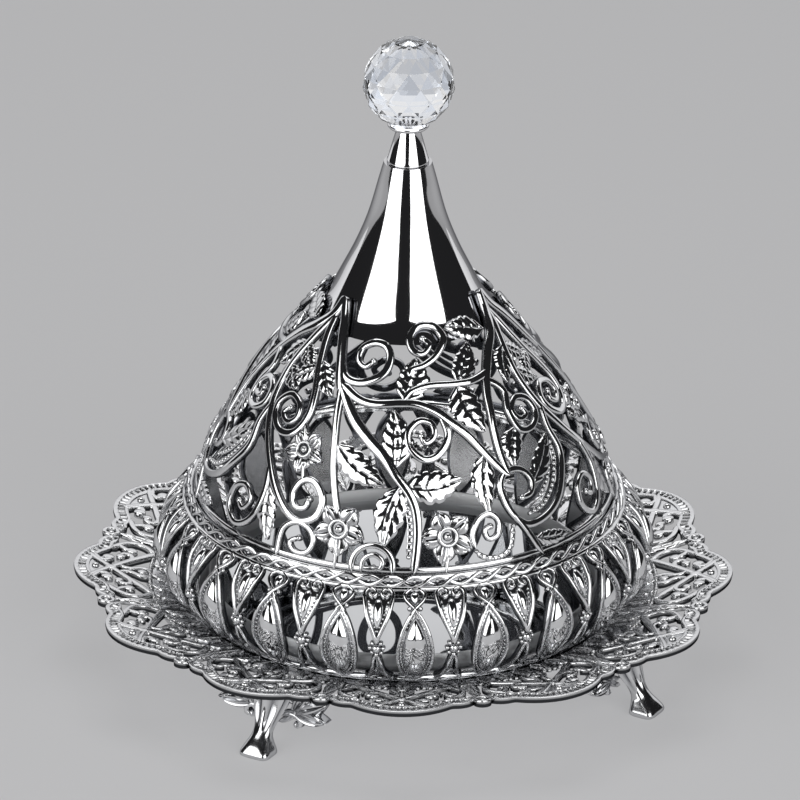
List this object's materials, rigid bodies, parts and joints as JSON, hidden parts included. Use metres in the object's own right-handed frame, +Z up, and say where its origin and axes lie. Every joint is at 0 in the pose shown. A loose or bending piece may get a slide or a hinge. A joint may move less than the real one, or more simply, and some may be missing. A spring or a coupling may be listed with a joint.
{
  "type": "decorative lidded dish",
  "caption": "Footed openwork sweet dish in bright plated metal: scalloped lace tray, pierced basket, lift-off scrollwork dome lid with a tall spire and a faceted crystal ball knob.",
  "frame": {"origin": "on the table plane under the centre of the tray", "axes": "+Z up along the spire, -Y the side that faces the viewer, +X to the viewer's right"},
  "size_m": [0.222, 0.222, 0.2227],
  "materials": {
    "plated_metal": "bright silver plate over cast openwork, darker in the recesses",
    "mirror_metal": "mirror-polished silver plate",
    "fastener_steel": "plain turned steel",
    "crystal": "clear faceted lead glass"
  },
  "bodies": {
    "base": {"tray": "plated_metal", "foot_1": "plated_metal", "foot_2": "plated_metal", "foot_3": "plated_metal", "foot_4": "plated_metal", "basket_base_ring": "plated_metal", "basket_motifs": "plated_metal", "basket_bosses": "plated_metal", "basket_rim_band": "plated_metal", "basket_rim_wire": "plated_metal", "inner_dish": "mirror_metal"},
    "lid": {"lid_base_ring": "plated_metal", "lid_panel_1": "plated_metal", "lid_panel_2": "plated_metal", "lid_panel_3": "plated_metal", "spire": "mirror_metal", "knob_stem": "mirror_metal", "knob_cup": "mirror_metal", "knob_stud": "fastener_steel", "knob_washer": "fastener_steel", "knob_nut": "fastener_steel", "crystal_ball": "crystal"}
  },
  "joints": [
    {"name": "lid_lift", "type": "slide", "parent": "base", "child": "lid", "axis": [0, 0, 1], "range_m": [0, 0.12]}
  ]
}
